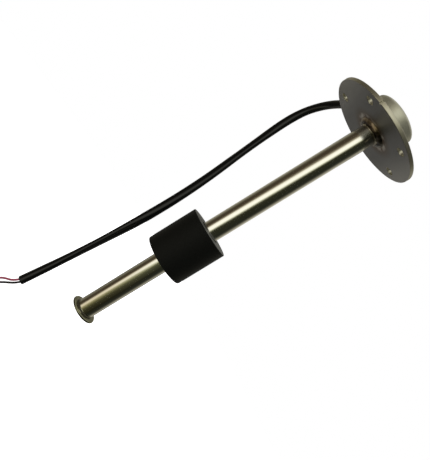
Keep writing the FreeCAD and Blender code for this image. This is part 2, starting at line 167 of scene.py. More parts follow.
def new_material(name):
    """A material with an empty tree, and that tree."""
    material = bpy.data.materials.new(name)
    material.use_nodes = True
    material.node_tree.nodes.clear()
    return material, material.node_tree


def pattern_scale(feature_mm):
    """The scale of a noise whose blotches are about feature_mm across, on coordinates in metres."""
    return 1 / (feature_mm * MM)


def around_axis(tree, vector):
    """Coordinates on a turned surface, (arc length, distance from the axis, height), and the distance."""
    split = add_node(tree, "ShaderNodeSeparateXYZ", {0: vector})
    angle = add_node(
        tree, "ShaderNodeMath", {0: split.outputs["Y"], 1: split.outputs["X"]}, operation="ARCTAN2"
    )
    arc = add_node(tree, "ShaderNodeMath", {0: angle, 1: ARC_RADIUS}, operation="MULTIPLY")
    flat = add_node(tree, "ShaderNodeVectorMath", {0: vector, 1: (1, 1, 0)}, operation="MULTIPLY")
    distance = add_node(tree, "ShaderNodeVectorMath", {0: flat}, operation="LENGTH")
    joined = add_node(tree, "ShaderNodeCombineXYZ", {"X": arc, "Y": distance, "Z": split.outputs["Z"]})
    return joined, distance


def dress(node_name, material):
    """Gives a CAD node a material."""
    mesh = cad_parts[node_name].data
    mesh.materials.clear()
    mesh.materials.append(material)


def dress_all(prefix, material):
    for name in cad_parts:
        if name.startswith(prefix):
            dress(name, material)


def nurbs_curve(name, points_mm, bevel_mm=0.0):
    """A smooth curve whose control points are given, with a round section if a bevel is given."""
    data = bpy.data.curves.new(name, "CURVE")
    data.dimensions = "3D"
    data.resolution_u = data.render_resolution_u = 24
    data.bevel_depth = bevel_mm * MM
    data.bevel_resolution = 5
    data.use_fill_caps = bevel_mm > 0
    spline = data.splines.new("NURBS")
    spline.points.add(len(points_mm) - 1)
    for point, place in zip(spline.points, points_mm):
        point.co = (*(Vector(place) * MM), 1.0)
    spline.order_u = 3
    spline.use_endpoint_u = True
    curve = bpy.data.objects.new(name, data)
    bpy.context.collection.objects.link(curve)
    return curve


def spline_points(curve):
    """The points that a curve without a bevel passes through, in metres."""
    bare = bpy.data.meshes.new_from_object(curve.evaluated_get(bpy.context.evaluated_depsgraph_get()))
    points = [vertex.co.copy() for vertex in bare.vertices]
    bpy.data.meshes.remove(bare)
    return points


def as_plain_mesh(source, name):
    """A new mesh object of what an object's modifiers make; the source object is removed."""
    bpy.context.view_layer.update()
    mesh = bpy.data.meshes.new_from_object(source.evaluated_get(bpy.context.evaluated_depsgraph_get()))
    bpy.data.objects.remove(source)
    mesh.name = name
    piece = bpy.data.objects.new(name, mesh)
    bpy.context.collection.objects.link(piece)
    return piece


# On either side of a rounding's arc stands one more point, this share of the rounding away, which keeps the
# smooth shading of the arc from spreading over the flat beside it.
SHADING_MARGIN = 0.4


def rounded(corners, arc_steps=5):
    """An outline of (radius, height, rounding) corners with each rounding drawn as a short arc."""
    count, outline = len(corners), []
    for index, (radius, height, rounding) in enumerate(corners):
        here = Vector((radius, height))
        if not rounding:
            outline.append(here)
            continue
        back = (Vector(corners[index - 1][:2]) - here).normalized()
        ahead = (Vector(corners[(index + 1) % count][:2]) - here).normalized()
        half = back.angle(ahead) / 2
        reach = rounding / math.tan(half)
        centre = here + (back + ahead).normalized() * (rounding / math.sin(half))
        first, last = here + back * reach - centre, here + ahead * reach - centre
        margin = SHADING_MARGIN * rounding
        outline.append(here + back * (reach + margin))
        for step in range(arc_steps + 1):
            outline.append(centre + first.slerp(last, step / arc_steps).normalized() * rounding)
        outline.append(here + ahead * (reach + margin))
    return outline


def turned(name, outline, steps=144):
    """A closed mesh object turned about Z from an outline of (radius, height) points in millimetres."""
    vertices, rings, faces = [], [], []
    for radius, height in outline:
        count = steps if radius > 1e-6 else 1
        rings.append([len(vertices) + step for step in range(count)])
        for step in range(count):
            angle = 2 * math.pi * step / steps
            vertices.append((radius * MM * math.cos(angle), radius * MM * math.sin(angle), height * MM))
    for low, high in zip(rings, rings[1:] + rings[:1]):
        if len(low) == 1 and len(high) == 1:
            continue
        for step in range(steps):
            after = step + 1
            corners = [low[step % len(low)], low[after % len(low)]]
            corners += [high[after % len(high)], high[step % len(high)]]
            faces.append(list(dict.fromkeys(corners)))
    mesh = bpy.data.meshes.new(name)
    mesh.from_pydata(vertices, [], faces)
    form = bmesh.new()
    form.from_mesh(mesh)
    bmesh.ops.recalc_face_normals(form, faces=form.faces)
    form.to_mesh(mesh)
    form.free()
    piece = bpy.data.objects.new(name, mesh)
    bpy.context.collection.objects.link(piece)
    shade(piece)
    return piece


def shade(piece, sharp_degrees=34.0):
    """Smooth shading with sharp edges where faces meet at more than an angle."""
    piece.data.shade_smooth()
    piece.data.set_sharp_from_angle(angle=math.radians(sharp_degrees))


def cut_away(piece, cutters):
    """A new piece: the first object less the second, both of which are removed."""
    name = piece.name
    modifier = piece.modifiers.new("cut", "BOOLEAN")
    modifier.object = cutters
    modifier.solver = "EXACT"
    modifier.use_self = True
    result = as_plain_mesh(piece, name)
    bpy.data.objects.remove(cutters)
    shade(result)
    return result


def place_piece(piece, body, slot, *nodes):
    """Hands a finished piece over in place of its CAD nodes."""
    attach(piece, body)
    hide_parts(*nodes)


def node_group(name, inputs):
    """A geometry tree with named inputs, and the sockets that those inputs come from."""
    tree = bpy.data.node_groups.new(name, "GeometryNodeTree")
    tree.interface.new_socket("Geometry", in_out="INPUT", socket_type="NodeSocketGeometry")
    tree.interface.new_socket("Geometry", in_out="OUTPUT", socket_type="NodeSocketGeometry")
    for label, kind in inputs:
        tree.interface.new_socket(label, in_out="INPUT", socket_type=kind)
    return tree, add_node(tree, "NodeGroupInput").outputs


def close_group(tree, geometry, material):
    """Ends a geometry tree: instances made real, then the material."""
    real = add_node(tree, "GeometryNodeRealizeInstances", {"Geometry": geometry})
    painted = add_node(tree, "GeometryNodeSetMaterial", {"Geometry": real, "Material": material})
    add_node(tree, "NodeGroupOutput", {"Geometry": painted})


def run_group(host, tree, values):
    """Adds a geometry tree to an object and sets its inputs by their identifiers."""
    modifier = host.modifiers.new(tree.name, "NODES")
    modifier.node_group = tree
    identifiers = {item.name: item.identifier for item in tree.interface.items_tree if item.in_out == "INPUT"}
    for label, value in values.items():
        modifier[identifiers[label]] = value
    return modifier


# ---------------------------------------------------------------- properties


class LevelSwitchSizes(bpy.types.PropertyGroup):
    sheath_width: length_property("Sheath width", "Wide side of the cable's oval section", 6.5)
    sheath_height: length_property("Sheath height", "Narrow side of the cable's oval section", 4.95)
    core_diameter: length_property("Core diameter", "Outside diameter of each insulated core", 1.4)


class LevelSwitchColours(bpy.types.PropertyGroup):
    blasted_steel: colour_property("Blasted steel", "Bead-blasted stainless flange", "#737375")
    brushed_steel: colour_property("Brushed steel", "Brushed stainless can", "#cbcabb")
    machined_steel: colour_property("Machined steel", "Turned rim and drilled holes", "#bab7a8")
    polished_steel: colour_property("Polished steel", "Polished stainless tube", "#dcdad3")
    heat_tint: colour_property("Heat tint", "Brown oxide round the weld", "#5c4a38")
    foam: colour_property("Float foam", "Skin of the nitrile foam float", "#070806")
    sheath: colour_property("Sheath", "Black vinyl of the cable's sheath", "#08090a")
    red_core: colour_property("Red core", "Insulation of the red core", "#a8405a")
    black_core: colour_property("Black core", "Insulation of the black core", "#0a090a")
    backdrop: colour_property("Backdrop", "Floor and backdrop", "#ffffff")


# ---------------------------------------------------------------- materials


def blasted_stainless(colours):
    """Stainless plate, bead-blasted: fine even dents scatter the light, so it looks soft grey without a
    mirror image. Welding has tinted it round the stem, and the two sides across the camera's view are painted
    lighter towards the rim, a painted light."""
    material, tree = new_material("bead_blasted_stainless")
    place = add_node(tree, "ShaderNodeTexCoord").outputs["Object"]
    _, distance = around_axis(tree, place)
    clouds = add_node(
        tree, "ShaderNodeTexNoise", {"Vector": place, "Scale": pattern_scale(9.0), "Detail": 3.0}
    )
    clouded = add_node(tree, "ShaderNodeMapRange", {"Value": clouds, "To Min": 0.0, "To Max": 0.5})
    steel = add_node(
        tree,
        "ShaderNodeMix",
        {"Factor": clouded, "A": colours.blasted_steel, "B": linear("#616163")},
        data_type="RGBA",
    )
    # Painted light: the plate is painted lighter towards the rim on the two sides across the view.
    side = add_node(tree, "ShaderNodeVectorMath", {0: place, 1: VIEW_SIDE}, operation="DOT_PRODUCT")
    apart = add_node(tree, "ShaderNodeMath", {0: side}, operation="ABSOLUTE")
    painted_light_sides = add_node(
        tree,
        "ShaderNodeMapRange",
        {"Value": apart, "From Min": 14 * MM, "From Max": 34 * MM, "To Min": 0.0, "To Max": 0.42},
        interpolation_type="SMOOTHSTEP",
    )
    steel = add_node(
        tree, "ShaderNodeMix", {"Factor": painted_light_sides, "A": steel, "B": linear("#c9c8c6")}, data_type="RGBA"
    )
    # Heat tint that fades away from the weld.
    halo = add_node(
        tree,
        "ShaderNodeMapRange",
        {"Value": distance, "From Min": 9.0 * MM, "From Max": 19.0 * MM, "To Min": 0.85, "To Max": 0.0},
        interpolation_type="SMOOTHSTEP",
    )
    tinted = add_node(
        tree, "ShaderNodeMix", {"Factor": halo, "A": steel, "B": colours.heat_tint}, data_type="RGBA"
    )
    # A paler ring beside the bead, in patches.
    pale_patches_in = add_node(
        tree,
        "ShaderNodeMapRange",
        {"Value": distance, "From Min": 9.6 * MM, "From Max": 11.0 * MM},
        interpolation_type="SMOOTHSTEP",
    )
    pale_patches_out = add_node(
        tree,
        "ShaderNodeMapRange",
        {"Value": distance, "From Min": 11.6 * MM, "From Max": 13.6 * MM, "To Min": 1.0, "To Max": 0.0},
        interpolation_type="SMOOTHSTEP",
    )
    blotch = add_node(
        tree, "ShaderNodeTexNoise", {"Vector": place, "Scale": pattern_scale(6.0), "Detail": 2.0}
    )
    patch = add_node(
        tree,
        "ShaderNodeMapRange",
        {"Value": blotch, "From Min": 0.42, "From Max": 0.60, "To Min": 0.0, "To Max": 0.6},
    )
    ring = add_node(tree, "ShaderNodeMath", {0: pale_patches_in, 1: pale_patches_out}, operation="MULTIPLY")
    pale_patches = add_node(tree, "ShaderNodeMath", {0: ring, 1: patch}, operation="MULTIPLY")
    colour = add_node(
        tree, "ShaderNodeMix", {"Factor": pale_patches, "A": tinted, "B": linear("#cfccc8")}, data_type="RGBA"
    )
    # The dents are about 0.1 mm across, which is too fine to show, so they are drawn at 0.25 mm.
    grit = add_node(
        tree, "ShaderNodeTexNoise", {"Vector": place, "Scale": pattern_scale(0.25), "Detail": 3.0}
    )
    shader = add_node(
        tree,
        "ShaderNodeBsdfPrincipled",
        {
            "Base Color": colour,
            "Metallic": 1.0,
            "Roughness": add_node(
                tree, "ShaderNodeMapRange", {"Value": grit, "To Min": 0.42, "To Max": 0.56}
            ),
            "Normal": add_node(tree, "ShaderNodeBump", {"Height": grit, "Distance": 0.02 * MM}),
        },
    )
    add_node(tree, "ShaderNodeOutputMaterial", {"Surface": shader})
    return material


def dull_weld():
    """Thin weld ring between tube and end cap, left dull by the torch: dark grey, cloudy, faintly shiny."""
    material, tree = new_material("dull_weld_ring")
    place = add_node(tree, "ShaderNodeTexCoord").outputs["Object"]
    patches = add_node(
        tree, "ShaderNodeTexNoise", {"Vector": place, "Scale": pattern_scale(1.2), "Detail": 2.0}
    )
    colour = add_node(
        tree,
        "ShaderNodeMix",
        {"Factor": patches, "A": linear("#2e2b24"), "B": linear("#5f5b4d")},
        data_type="RGBA",
    )
    shader = add_node(
        tree,
        "ShaderNodeBsdfPrincipled",
        {
            "Base Color": colour,
            "Metallic": 1.0,
            "Roughness": add_node(
                tree, "ShaderNodeMapRange", {"Value": patches, "To Min": 0.22, "To Max": 0.38}
            ),
        },
    )
    add_node(tree, "ShaderNodeOutputMaterial", {"Surface": shader})
    return material


def worked_stainless(name, line_mm, stretch, detail, tones, roughness, depth_mm):
    """Stainless steel with fine lines from cutting, brushing or drawing, which widen a highlight across them.
    The lines run along the axis on which stretch is much less than 1. Real ones are finer than 0.1 mm and
    wouldn't show, so they are drawn as wide as line_mm. One tone leaves the colour even."""
    material, tree = new_material(name)
    turned_place, _ = around_axis(tree, add_node(tree, "ShaderNodeTexCoord").outputs["Object"])
    drawn_out = add_node(tree, "ShaderNodeVectorMath", {0: turned_place, 1: stretch}, operation="MULTIPLY")
    lines = add_node(
        tree, "ShaderNodeTexNoise", {"Vector": drawn_out, "Scale": pattern_scale(line_mm), "Detail": detail}
    )
    colour = tones[0]
    if len(tones) > 1:
        colour = add_node(
            tree, "ShaderNodeMix", {"Factor": lines, "A": tones[0], "B": tones[1]}, data_type="RGBA"
        )
    smooth, rough = roughness
    shader = add_node(
        tree,
        "ShaderNodeBsdfPrincipled",
        {
            "Base Color": colour,
            "Metallic": 1.0,
            "Roughness": add_node(
                tree, "ShaderNodeMapRange", {"Value": lines, "To Min": smooth, "To Max": rough}
            ),
            "Normal": add_node(tree, "ShaderNodeBump", {"Height": lines, "Distance": depth_mm * MM}),
        },
    )
    add_node(tree, "ShaderNodeOutputMaterial", {"Surface": shader})
    return material


def machined_stainless(colours):
    """Turned rim and drilled holes: cut clean, so brighter and smoother than the blasted face."""
    return worked_stainless(
        "machined_stainless",
        line_mm=0.3,
        stretch=(0.1, 1.0, 1.0),
        detail=2.0,
        tones=(colours.machined_steel, linear("#a5a292")),
        roughness=(0.28, 0.40),
        depth_mm=0.006,
    )


def brushed_stainless(colours):
    """Drawn stainless can, brushed round its axis: fine arcs that widen the highlight."""
    return worked_stainless(
        "brushed_stainless",
        line_mm=0.35,
        stretch=(0.06, 1.0, 1.0),
        detail=3.0,
        tones=(colours.brushed_steel, linear("#b7b6a7")),
        roughness=(0.38, 0.52),
        depth_mm=0.01,
    )


def turned_stainless():
    """Turned end cap, in a darker, more olive tone than the other steel: rings round the axis, smooth but not
    polished.
    """
    return worked_stainless(
        "turned_stainless",
        line_mm=0.4,
        stretch=(0.08, 1.0, 1.0),
        detail=2.0,
        tones=(linear("#9c9b80"), linear("#7a7963")),
        roughness=(0.18, 0.28),
        depth_mm=0.003,
    )


def polished_stainless(colours):
    """Drawn tube, polished: near mirror with faint drawing lines along the axis."""
    return worked_stainless(
        "polished_stainless",
        line_mm=0.5,
        stretch=(1.0, 1.0, 0.01),
        detail=2.0,
        tones=(colours.polished_steel,),
        roughness=(0.10, 0.17),
        depth_mm=0.002,
    )


# Tones over the bead from the tube outwards: (share of the way, tone).
# The pale first stop of each list, next to the tube, is a painted highlight along the bead's toe.
SOOT_AND_TOE_HIGHLIGHT_STOPS = [(0.14, "#8a857a"), (0.18, "#332d25"), (0.45, "#211e19"), (0.75, "#2b2721"), (1.00, "#5a564f")]
# The list below is lighter than the one above: partly heat tint, and partly a painted highlight on one side
# of the bead.
STRAW_AND_HIGHLIGHT_STOPS = [
    (0.14, "#a29c8d"),
    (0.18, "#3c352c"),
    (0.45, "#3a3028"),
    (0.66, "#766757"),
    (0.84, "#988b78"),
    (1.00, "#7a7067"),
]


def weld_metal():
    """Weld bead as it left the torch: sooty brown heat tint over its back; next to the tube a pale grey band,
    a painted highlight along the toe; and towards one side lighter straw tones, partly heat tint and partly a
    painted highlight."""
    material, tree = new_material("tinted_weld_bead_painted_highlights")
    place = add_node(tree, "ShaderNodeTexCoord").outputs["Object"]
    _, distance = around_axis(tree, place)
    patches = add_node(
        tree, "ShaderNodeTexNoise", {"Vector": place, "Scale": pattern_scale(5.0), "Detail": 2.0}
    )
    shift = add_node(tree, "ShaderNodeMapRange", {"Value": patches, "To Min": -1.2 * MM, "To Max": 1.2 * MM})
    mottled = add_node(tree, "ShaderNodeMath", {0: distance, 1: shift}, operation="ADD")
    share = add_node(
        tree, "ShaderNodeMapRange", {"Value": mottled, "From Min": 6.4 * MM, "From Max": 10.4 * MM}
    )
    tints = []
    for stops in (SOOT_AND_TOE_HIGHLIGHT_STOPS, STRAW_AND_HIGHLIGHT_STOPS):
        tints.append(add_node(tree, "ShaderNodeValToRGB", {"Fac": share}))
        set_stops(tints[-1], stops)
    # Painted highlight with heat tint: towards one side, the bead takes the lighter straw tones.
    last = add_node(tree, "ShaderNodeVectorMath", {0: place, 1: STRAW_AND_HIGHLIGHT_SIDE}, operation="DOT_PRODUCT")
    straw = add_node(
        tree,
        "ShaderNodeMapRange",
        {"Value": last, "From Min": 2.0 * MM, "From Max": 7.0 * MM},
        interpolation_type="SMOOTHSTEP",
    )
    colour = add_node(
        tree, "ShaderNodeMix", {"Factor": straw, "A": tints[0], "B": tints[1]}, data_type="RGBA"
    )
    shader = add_node(
        tree,
        "ShaderNodeBsdfPrincipled",
        {
            "Base Color": colour,
            "Metallic": 1.0,
            "Roughness": add_node(
                tree, "ShaderNodeMapRange", {"Value": patches, "To Min": 0.26, "To Max": 0.40}
            ),
        },
    )
    add_node(tree, "ShaderNodeOutputMaterial", {"Surface": shader})
    return material


def foam_skin(colours):
    """Nitrile foam, ground to size: near-black, closed cells, matt with a dull sheen at a slant."""
    material, tree = new_material("nitrile_foam")
    place = add_node(tree, "ShaderNodeTexCoord").outputs["Object"]
    cells = add_node(
        tree, "ShaderNodeTexNoise", {"Vector": place, "Scale": pattern_scale(0.3), "Detail": 3.0}
    )
    colour = add_node(
        tree, "ShaderNodeMix", {"Factor": cells, "A": colours.foam, "B": linear("#0c0d0a")}, data_type="RGBA"
    )
    shader = add_node(
        tree,
        "ShaderNodeBsdfPrincipled",
        {
            "Base Color": colour,
            "Roughness": add_node(
                tree, "ShaderNodeMapRange", {"Value": cells, "To Min": 0.55, "To Max": 0.75}
            ),
            "Specular IOR Level": 0.16,
            "Sheen Weight": 0.02,
            "Sheen Roughness": 0.3,
            "Normal": add_node(tree, "ShaderNodeBump", {"Height": cells, "Distance": 0.03 * MM}),
        },
    )
    add_node(tree, "ShaderNodeOutputMaterial", {"Surface": shader})
    return material


def soft_plastic(name, colour, roughness, grain_mm=0.6, depth_mm=0.006, shine=0.5):
    """Extruded or moulded plastic or rubber: one colour, a smooth skin with a slight waviness."""
    material, tree = new_material(name)
    place = add_node(tree, "ShaderNodeTexCoord").outputs["Object"]
    waves = add_node(
        tree, "ShaderNodeTexNoise", {"Vector": place, "Scale": pattern_scale(grain_mm), "Detail": 2.0}
    )
    uneven = add_node(
        tree,
        "ShaderNodeMapRange",
        {"Value": waves, "To Min": roughness - 0.04, "To Max": roughness + 0.04},
    )
    shader = add_node(
        tree,
        "ShaderNodeBsdfPrincipled",
        {
            "Base Color": colour,
            "Roughness": uneven,
            "Specular IOR Level": shine,
            "Normal": add_node(tree, "ShaderNodeBump", {"Height": waves, "Distance": depth_mm * MM}),
        },
    )
    add_node(tree, "ShaderNodeOutputMaterial", {"Surface": shader})
    return material


def plain_metal(name, tone, roughness, grain_mm=0.4):
    """Small plated or tinned metal parts: one colour with slight unevenness of the plating."""
    material, tree = new_material(name)
    place = add_node(tree, "ShaderNodeTexCoord").outputs["Object"]
    plating = add_node(
        tree, "ShaderNodeTexNoise", {"Vector": place, "Scale": pattern_scale(grain_mm), "Detail": 2.0}
    )
    uneven = add_node(
        tree,
        "ShaderNodeMapRange",
        {"Value": plating, "To Min": roughness - 0.06, "To Max": roughness + 0.06},
    )
    shader = add_node(
        tree,
        "ShaderNodeBsdfPrincipled",
        {
            "Base Color": linear(tone),
            "Metallic": 1.0,
            "Roughness": uneven,
            "Normal": add_node(tree, "ShaderNodeBump", {"Height": plating, "Distance": 0.004 * MM}),
        },
    )
    add_node(tree, "ShaderNodeOutputMaterial", {"Surface": shader})
    return material


def sealed_glass():
    """Drawn lead glass of the reed capsules: clear with a green cast, slightly wavy from drawing."""
    material, tree = new_material("green_capsule_glass")
    place = add_node(tree, "ShaderNodeTexCoord").outputs["Object"]
    waves = add_node(
        tree, "ShaderNodeTexNoise", {"Vector": place, "Scale": pattern_scale(2.0), "Detail": 1.0}
    )
    shader = add_node(
        tree,
        "ShaderNodeBsdfPrincipled",
        {
            "Base Color": linear("#b5d6b4"),
            "Roughness": 0.04,
            "IOR": 1.52,
            "Transmission Weight": 1.0,
            "Normal": add_node(tree, "ShaderNodeBump", {"Height": waves, "Distance": 0.01 * MM}),
        },
    )
    add_node(tree, "ShaderNodeOutputMaterial", {"Surface": shader})
    return material


# ---------------------------------------------------------------- operators


# Outlines of the turned pieces: (radius, height, rounding) of each corner, in millimetres.
FLANGE_OUTLINE = [(6.5, 0, 0), (34.0, 0, 0.22), (34.0, 2.3, 0.22), (6.5, 2.3, 0)]
CAN_OUTLINE = [
    (14.9, 2.3, 0),
    (15.7, 2.3, 0),
    (15.7, 15.4, 1.5),
    (0, 15.4, 0),
    (0, 14.6, 0),
    (14.9, 14.6, 0.7),
]
END_CAP_OUTLINE = [
    (0, -201.1, 0),
    (9.5, -201.1, 0.75),
    (9.5, -199.5, 0.75),
    (5.65, -199.5, 0),
    (5.65, -194.5, 0),
    (0, -194.5, 0),
]
HOLE_CUTTER = [(0, -1, 0), (3.7, -1, 0), (2.65, 0.18, 0), (2.65, 2.12, 0), (3.7, 3.3, 0), (0, 3.3, 0)]
NOTCH_BEARING = math.radians(231.6)
NOTCH_SIZE = (2.4 * MM, 1.0 * MM, 6 * MM)
NOTCH_PLACE = 34.0 * MM
CABLE_BEARING = math.radians(106.4)
CABLE_HEIGHT = 8.5 * MM
CAN_HOLE_DIAMETER = 7.6 * MM
CAN_HOLE_START, CAN_HOLE_END = 10 * MM, 20 * MM
BOLT_COUNT = 5
BOLT_RADIUS = 27.0 * MM
# A face of the plate is machined where its normal's height is less than this.
RIM_SLOPE = 0.85


def bolt_circle_tree():
    """Repeats a form at even steps round a circle, each copy turned outwards."""
    tree, inputs = node_group(
        "bolt_circle_tree",
        [
            ("Count", "NodeSocketInt"),
            ("Circle Radius", "NodeSocketFloat"),
            ("Material", "NodeSocketMaterial"),
        ],
    )
    ring = add_node(
        tree, "GeometryNodeMeshCircle", {"Vertices": inputs["Count"], "Radius": inputs["Circle Radius"]}
    )
    number = add_node(tree, "GeometryNodeInputIndex")
    step = add_node(tree, "ShaderNodeMath", {0: 2 * math.pi, 1: inputs["Count"]}, operation="DIVIDE")
    angle = add_node(tree, "ShaderNodeMath", {0: number, 1: step}, operation="MULTIPLY")
    turn = add_node(tree, "ShaderNodeCombineXYZ", {"Z": angle})
    copies = add_node(
        tree,
        "GeometryNodeInstanceOnPoints",
        {"Points": ring, "Instance": inputs["Geometry"], "Rotation": turn},
    )
    close_group(tree, copies, inputs["Material"])
    return tree


def add_block(piece, size, bearing, distance, height):
    """Adds a box to a mesh, lying radially at a bearing."""
    form = bmesh.new()
    form.from_mesh(piece.data)
    place = Matrix.Rotation(bearing, 4, "Z") @ Matrix.Translation((distance, 0, height))
    bmesh.ops.create_cube(form, size=1.0, matrix=place @ Matrix.Diagonal((*size, 1.0)))
    form.to_mesh(piece.data)
    form.free()


def lay_cylinder(name, diameter, bearing, height, start, end):
    """A closed cylinder that lies radially at a bearing, between two distances from the axis."""
    form = bmesh.new()
    middle = Matrix.Translation(((start + end) / 2, 0, height)) @ Matrix.Rotation(math.pi / 2, 4, "Y")
    bmesh.ops.create_cone(
        form,
        cap_ends=True,
        segments=48,
        radius1=diameter / 2,
        radius2=diameter / 2,
        depth=end - start,
        matrix=Matrix.Rotation(bearing, 4, "Z") @ middle,
    )
    mesh = bpy.data.meshes.new(name)
    form.to_mesh(mesh)
    form.free()
    piece = bpy.data.objects.new(name, mesh)
    bpy.context.collection.objects.link(piece)
    return piece


class LEVELSWITCH_OT_flange(bpy.types.Operator):
    """Makes the blasted flange with its deburred holes, machined rim and index notch"""

    bl_idname = "level_switch.flange"
    bl_label = "Flange"

    def execute(self, context):
        colours = context.scene.level_switch_colours
        blasted, machined = blasted_stainless(colours), machined_stainless(colours)
        cutter = turned("hole_cutter", rounded(HOLE_CUTTER), steps=48)
        values = {"Count": BOLT_COUNT, "Circle Radius": BOLT_RADIUS, "Material": machined}
        run_group(cutter, bolt_circle_tree(), values)
        cutters = as_plain_mesh(cutter, "flange_cutters")
        add_block(cutters, NOTCH_SIZE, NOTCH_BEARING, NOTCH_PLACE, MM)
        plate = cut_away(turned("flange_plate", rounded(FLANGE_OUTLINE), steps=192), cutters)
        plate.data.materials.clear()
        plate.data.materials.append(blasted)
        plate.data.materials.append(machined)
        for face in plate.data.polygons:
            face.material_index = 1 if abs(face.normal.z) < RIM_SLOPE else 0
        place_piece(plate, "sensor", "flange_steel", "mounting_flange")
        return {"FINISHED"}


class LEVELSWITCH_OT_steel(bpy.types.Operator):
    """Makes the brushed can and the end cap, and finishes the stem"""

    bl_idname = "level_switch.steel"
    bl_label = "Can, stem and end cap"

    def execute(self, context):
        colours = context.scene.level_switch_colours
        hole = lay_cylinder(
            "can_hole", CAN_HOLE_DIAMETER, CABLE_BEARING, CABLE_HEIGHT, CAN_HOLE_START, CAN_HOLE_END
        )
        can = cut_away(turned("can_shell", rounded(CAN_OUTLINE), steps=192), hole)
        can.data.materials.append(brushed_stainless(colours))
        place_piece(can, "sensor", "can_steel", "head_can")
        dress("stem_tube", polished_stainless(colours))
        cap = turned("end_cap", rounded(END_CAP_OUTLINE))
        cap.data.materials.append(turned_stainless())
        place_piece(cap, "sensor", "stem_steel", "end_plug")
        return {"FINISHED"}


def weld_ripple_tree():
    """Raises a bead's surface in crescents one after another, with lumps between them."""
    tree, inputs = node_group(
        "weld_ripple_tree",
        [
            ("Ripples", "NodeSocketFloat"),
            ("Ripple Height", "NodeSocketFloat"),
            ("Lump Size", "NodeSocketFloat"),
            ("Lump Height", "NodeSocketFloat"),
            ("Seed", "NodeSocketFloat"),
            ("Material", "NodeSocketMaterial"),
        ],
    )
    place = add_node(tree, "GeometryNodeInputPosition")
    split = add_node(tree, "ShaderNodeSeparateXYZ", {0: place})
    angle = add_node(
        tree, "ShaderNodeMath", {0: split.outputs["Y"], 1: split.outputs["X"]}, operation="ARCTAN2"
    )
    share = add_node(tree, "ShaderNodeMath", {0: angle, 1: 2 * math.pi}, operation="DIVIDE")
    turns = add_node(tree, "ShaderNodeMath", {0: share, 1: inputs["Ripples"]}, operation="MULTIPLY")
    phase = add_node(tree, "ShaderNodeMath", {0: turns}, operation="FRACT")
    centred = add_node(tree, "ShaderNodeMath", {0: phase, 1: 2.0, 2: -1.0}, operation="MULTIPLY_ADD")
    square = add_node(tree, "ShaderNodeMath", {0: centred, 1: centred}, operation="MULTIPLY")
    crescent = add_node(tree, "ShaderNodeMath", {0: 1.0, 1: square}, operation="SUBTRACT")
    ripple = add_node(tree, "ShaderNodeMath", {0: crescent, 1: inputs["Ripple Height"]}, operation="MULTIPLY")
    scale = add_node(tree, "ShaderNodeMath", {0: 1.0, 1: inputs["Lump Size"]}, operation="DIVIDE")
    noise = add_node(
        tree,
        "ShaderNodeTexNoise",
        {"Vector": place, "W": inputs["Seed"], "Scale": scale, "Detail": 1.0},
        noise_dimensions="4D",
    )
    level = add_node(tree, "ShaderNodeMath", {0: noise, 1: 0.5}, operation="SUBTRACT")
    lump = add_node(tree, "ShaderNodeMath", {0: level, 1: inputs["Lump Height"]}, operation="MULTIPLY")
    rise = add_node(tree, "ShaderNodeMath", {0: ripple, 1: lump}, operation="ADD")
    normal = add_node(tree, "GeometryNodeInputNormal")
    offset = add_node(tree, "ShaderNodeVectorMath", {0: normal, "Scale": rise}, operation="SCALE")
    moved = add_node(tree, "GeometryNodeSetPosition", {"Geometry": inputs["Geometry"], "Offset": offset})
    close_group(tree, moved, inputs["Material"])
    return tree


# Corners of the two weld beads' sections: (radius, height), in millimetres.
STEM_BEAD_ROOT, STEM_BEAD_EDGE = (6.4, 0.0), (9.9, 0.0)
STEM_BEAD_SHOULDER, STEM_BEAD_TOE = (7.3, -1.85), (6.4, -2.35)
END_BEAD_ROOT, END_BEAD_EDGE, END_BEAD_TOE = (6.4, -199.5), (7.1, -199.5), (6.4, -198.85)


def bulged(start, end, bulge, steps):
    """Points from one (radius, height) to another, swelling away from the corner that they cut off."""
    start, end = Vector(start), Vector(end)
    across = (end - start).normalized()
    outwards = Vector((abs(across.y), math.copysign(abs(across.x), end.y - start.y)))
    shares = [step / steps for step in range(steps + 1)]
    return [start.lerp(end, share) + outwards * bulge * math.sin(math.pi * share) for share in shares]


class LEVELSWITCH_OT_welds(bpy.types.Operator):
    """Makes the weld beads at both ends of the stem"""

    bl_idname = "level_switch.welds"
    bl_label = "Weld beads"

    def execute(self, context):
        ripples = weld_ripple_tree()
        crest = bulged(STEM_BEAD_EDGE, STEM_BEAD_SHOULDER, bulge=0.42, steps=12)
        toe = bulged(STEM_BEAD_SHOULDER, STEM_BEAD_TOE, bulge=0.3, steps=6)
        bead = turned("stem_bead", [Vector(STEM_BEAD_ROOT), *crest, *toe[1:]], steps=240)
        values = {
            "Ripples": 15.0,
            "Ripple Height": 0.12 * MM,
            "Lump Size": 4.0 * MM,
            "Lump Height": 0.8 * MM,
            "Seed": 4.0,
            "Material": weld_metal(),
        }
        run_group(bead, ripples, values)
        bead = as_plain_mesh(bead, "stem_bead")
        bead.data.shade_smooth()
        place_piece(bead, "sensor", "weld_steel", "stem_weld")
        fillet = bulged(END_BEAD_EDGE, END_BEAD_TOE, bulge=0.1, steps=6)
        ring = turned("end_bead", [Vector(END_BEAD_ROOT), *fillet], steps=160)
        values.update({"Ripples": 34.0, "Ripple Height": 0.04 * MM, "Lump Height": 0.06 * MM})
        values["Material"] = dull_weld()
        run_group(ring, ripples, values)
        ring = as_plain_mesh(ring, "end_bead")
        ring.data.shade_smooth()
        place_piece(ring, "sensor", "weld_steel", "end_weld")
        return {"FINISHED"}


# A face of the float is on an end, which is painted paler, where its normal's height is more than this.
FLAT_END = 0.9
# The float, with the magnet's pocket open at its lower end.
FLOAT_OUTLINE = [
    (7.2, -142.4, 0.4),
    (8.8, -142.4, 0),
    (8.8, -129.3, 0),
    (12.2, -129.3, 0),
    (12.2, -142.4, 0),
    (16.35, -142.4, 0.5),
    (16.35, -110.2, 0.5),
    (7.2, -110.2, 0.4),
]


